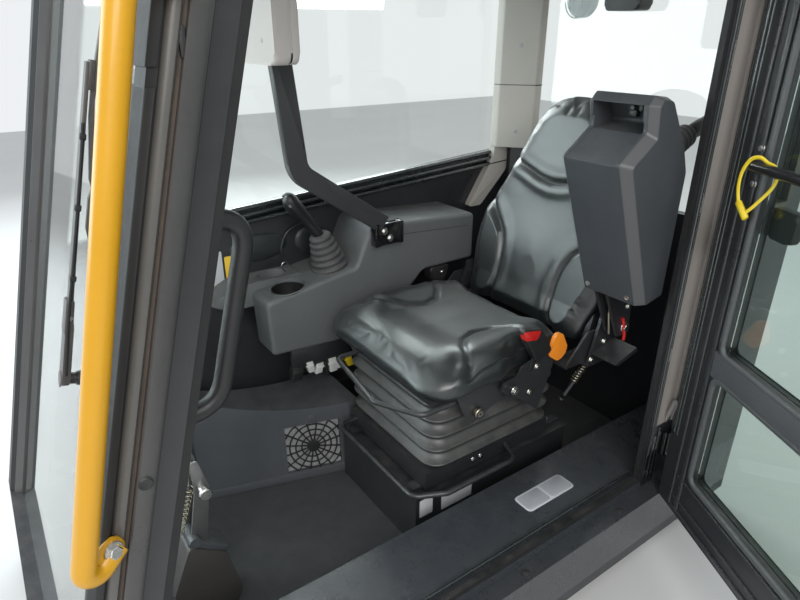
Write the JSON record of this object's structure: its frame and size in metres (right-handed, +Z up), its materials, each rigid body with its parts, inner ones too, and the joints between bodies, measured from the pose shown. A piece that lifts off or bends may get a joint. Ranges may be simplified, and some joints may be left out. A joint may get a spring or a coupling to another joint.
{
  "type": "compact track loader cab",
  "caption": "Operator's cab of a compact track loader: glazed steel frame, side door, suspension seat with swing-up control pod, console, display and grab handles.",
  "frame": {"origin": "centre of the four mounting feet's bolt pattern, at their underside", "axes": "+Z up, -Y towards the front window, +X towards the side door"},
  "size_m": [2.1195, 1.749, 1.602],
  "materials": {
    "black_paint": "satin black coat",
    "yellow_paint": "gloss yellow coat",
    "grey_trim": "fine-grained pale grey moulding",
    "roof_paint": "satin charcoal coat",
    "console_plastic": "grained dark grey moulding",
    "black_plastic": "satin black moulding",
    "orange_plastic": "satin orange moulding",
    "black_rubber": "matt black rubber",
    "bright_steel": "zinc plated",
    "seat_cover": "soft black leathercloth",
    "tinted_glass": "green tinted safety glass"
  },
  "bodies": {
    "cab": {"mounting_feet": "black_paint", "floor_pan": "black_paint", "sill_left": "black_paint", "sill_right": "black_paint", "front_sill": "black_paint", "a_pillar_left": "black_paint", "a_pillar_right": "black_paint", "b_pillar_left": "black_paint", "b_pillar_trim": "grey_trim", "cab_seals": "black_rubber", "rear_posts": "black_paint", "cant_rail_left": "black_paint", "cant_rail_right": "black_paint", "roof_headers": "black_paint", "roof_panel": "roof_paint", "headliner": "grey_trim", "windscreen": "tinted_glass", "side_panels": "black_paint", "side_glass": "tinted_glass", "window_track": "black_rubber", "rear_bulkhead": "black_paint", "rear_window": "tinted_glass", "rear_trims": "grey_trim", "hinge_leaves": "black_paint", "seat_plinth": "black_paint", "right_console": "console_plastic", "side_tray": "console_plastic", "stick_boot": "black_rubber", "stick_grip": "black_plastic", "kick_panel": "console_plastic", "vent_grille": "black_plastic", "display_arm": "black_paint", "display": "grey_trim", "grab_handle_front": "yellow_paint", "grab_handle_inner": "black_paint", "wiper_spindle": "bright_steel", "pedal": "black_plastic", "rear_fittings": "black_plastic"},
    "door": {"door_frame": "black_paint", "door_glass": "tinted_glass", "pane_beads": "black_rubber", "hinge_straps": "black_paint", "door_grab_rod": "black_paint", "door_catch": "black_plastic"},
    "seat": {"seat_base": "black_paint", "seat_bellows": "black_rubber", "seat_pan": "black_paint", "seat_cushion": "seat_cover", "recliner_brackets": "black_paint", "pod_bracket": "black_paint", "seat_side_plates": "black_paint", "seat_buckle": "black_plastic", "release_lever": "orange_plastic", "release_bars": "black_paint"},
    "backrest": {"backrest_pad": "seat_cover", "backrest_frame": "black_paint"},
    "control_pod": {"pod_arm": "black_paint", "pod_housing": "console_plastic", "pod_joystick": "black_plastic"},
    "wiper": {"wiper": "black_rubber"}
  },
  "joints": [
    {"name": "door_hinge", "type": "hinge", "parent": "cab", "child": "door", "pos_m": [0.48, 0.505, 0.85], "axis": [0, 0, 1], "range_deg": [-62, 40]},
    {"name": "seat_slide", "type": "slide", "parent": "cab", "child": "seat", "axis": [0, 1, 0], "range_m": [-0.1, 0.06]},
    {"name": "backrest_recline", "type": "hinge", "parent": "seat", "child": "backrest", "pos_m": [0, 0.43, 0.545], "axis": [1, 0, 0], "range_deg": [-6, 15]},
    {"name": "pod_lift", "type": "hinge", "parent": "seat", "child": "control_pod", "pos_m": [0.3, 0.455, 0.6], "axis": [1, 0, 0], "range_deg": [0, 75]},
    {"name": "wiper_swing", "type": "hinge", "parent": "cab", "child": "wiper", "pos_m": [0.208, -0.6763, 0.8], "axis": [0, -0.9666, 0.2562], "range_deg": [0, 70]}
  ]
}
